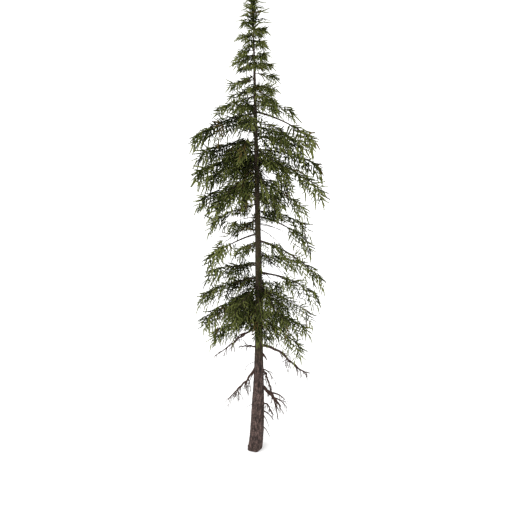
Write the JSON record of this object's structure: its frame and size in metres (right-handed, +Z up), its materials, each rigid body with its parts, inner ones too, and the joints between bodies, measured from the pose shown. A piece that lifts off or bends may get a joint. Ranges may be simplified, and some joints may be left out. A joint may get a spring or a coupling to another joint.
{
  "type": "spruce tree",
  "caption": "Tall narrow spruce with a bare lower trunk, dead crooked lower limbs and drooping live boughs of needle sprays up to a pointed leader; fixed by its flat foot.",
  "frame": {"origin": "middle of the flat cut under the trunk, at ground level", "axes": "+Z up along the trunk to the leader, +X to the right and +Y away from the viewer in the picture"},
  "size_m": [4.0346, 3.367, 15.0165],
  "materials": {
    "bark": "rough scaly grey-brown bark",
    "deadwood": "dry weathered brown-grey bark of dead limbs",
    "needles": "dense dull dark green needles"
  },
  "bodies": {
    "root": {"trunk": "bark", "bough_14_right": "bark", "bough_30_right": "bark", "bough_32_left": "bark", "bough_33_right": "bark", "bough_36_right": "bark", "dead_bough_01_left": "deadwood", "dead_bough_02_right": "deadwood", "dead_bough_03_left": "deadwood", "dead_bough_04_left": "deadwood", "dead_bough_05_right": "deadwood", "dead_bough_06_right": "deadwood", "dead_bough_07_right": "deadwood", "foliage_01_left": "needles", "foliage_02_right": "needles", "foliage_03_left": "needles", "foliage_04_back": "needles", "foliage_05_right": "needles", "foliage_06_left": "needles", "foliage_07_front": "needles", "foliage_08_right": "needles", "foliage_09_left": "needles", "foliage_10_back": "needles", "foliage_11_front": "needles", "foliage_12_left": "needles", "foliage_13_right": "needles", "foliage_14_right": "needles", "foliage_15_left": "needles", "foliage_16_right": "needles", "foliage_17_back": "needles", "foliage_18_left": "needles", "foliage_19_right": "needles", "foliage_20_left": "needles", "foliage_21_back": "needles", "foliage_22_right": "needles", "foliage_23_left": "needles", "foliage_24_front": "needles", "foliage_25_right": "needles", "foliage_26_left": "needles", "foliage_27_back": "needles", "foliage_28_left": "needles", "foliage_29_right": "needles", "foliage_30_right": "needles", "foliage_31_left": "needles", "foliage_32_left": "needles", "foliage_33_right": "needles", "foliage_34_right": "needles", "foliage_35_left": "needles", "foliage_36_right": "needles", "foliage_37_left": "needles", "foliage_38_front": "needles", "foliage_39_back": "needles", "foliage_40_front": "needles", "foliage_41_right": "needles", "foliage_42_left": "needles", "foliage_43_back": "needles", "foliage_44_right": "needles", "foliage_45_right": "needles", "foliage_46_left": "needles", "foliage_leader": "needles"}
  },
  "joints": []
}
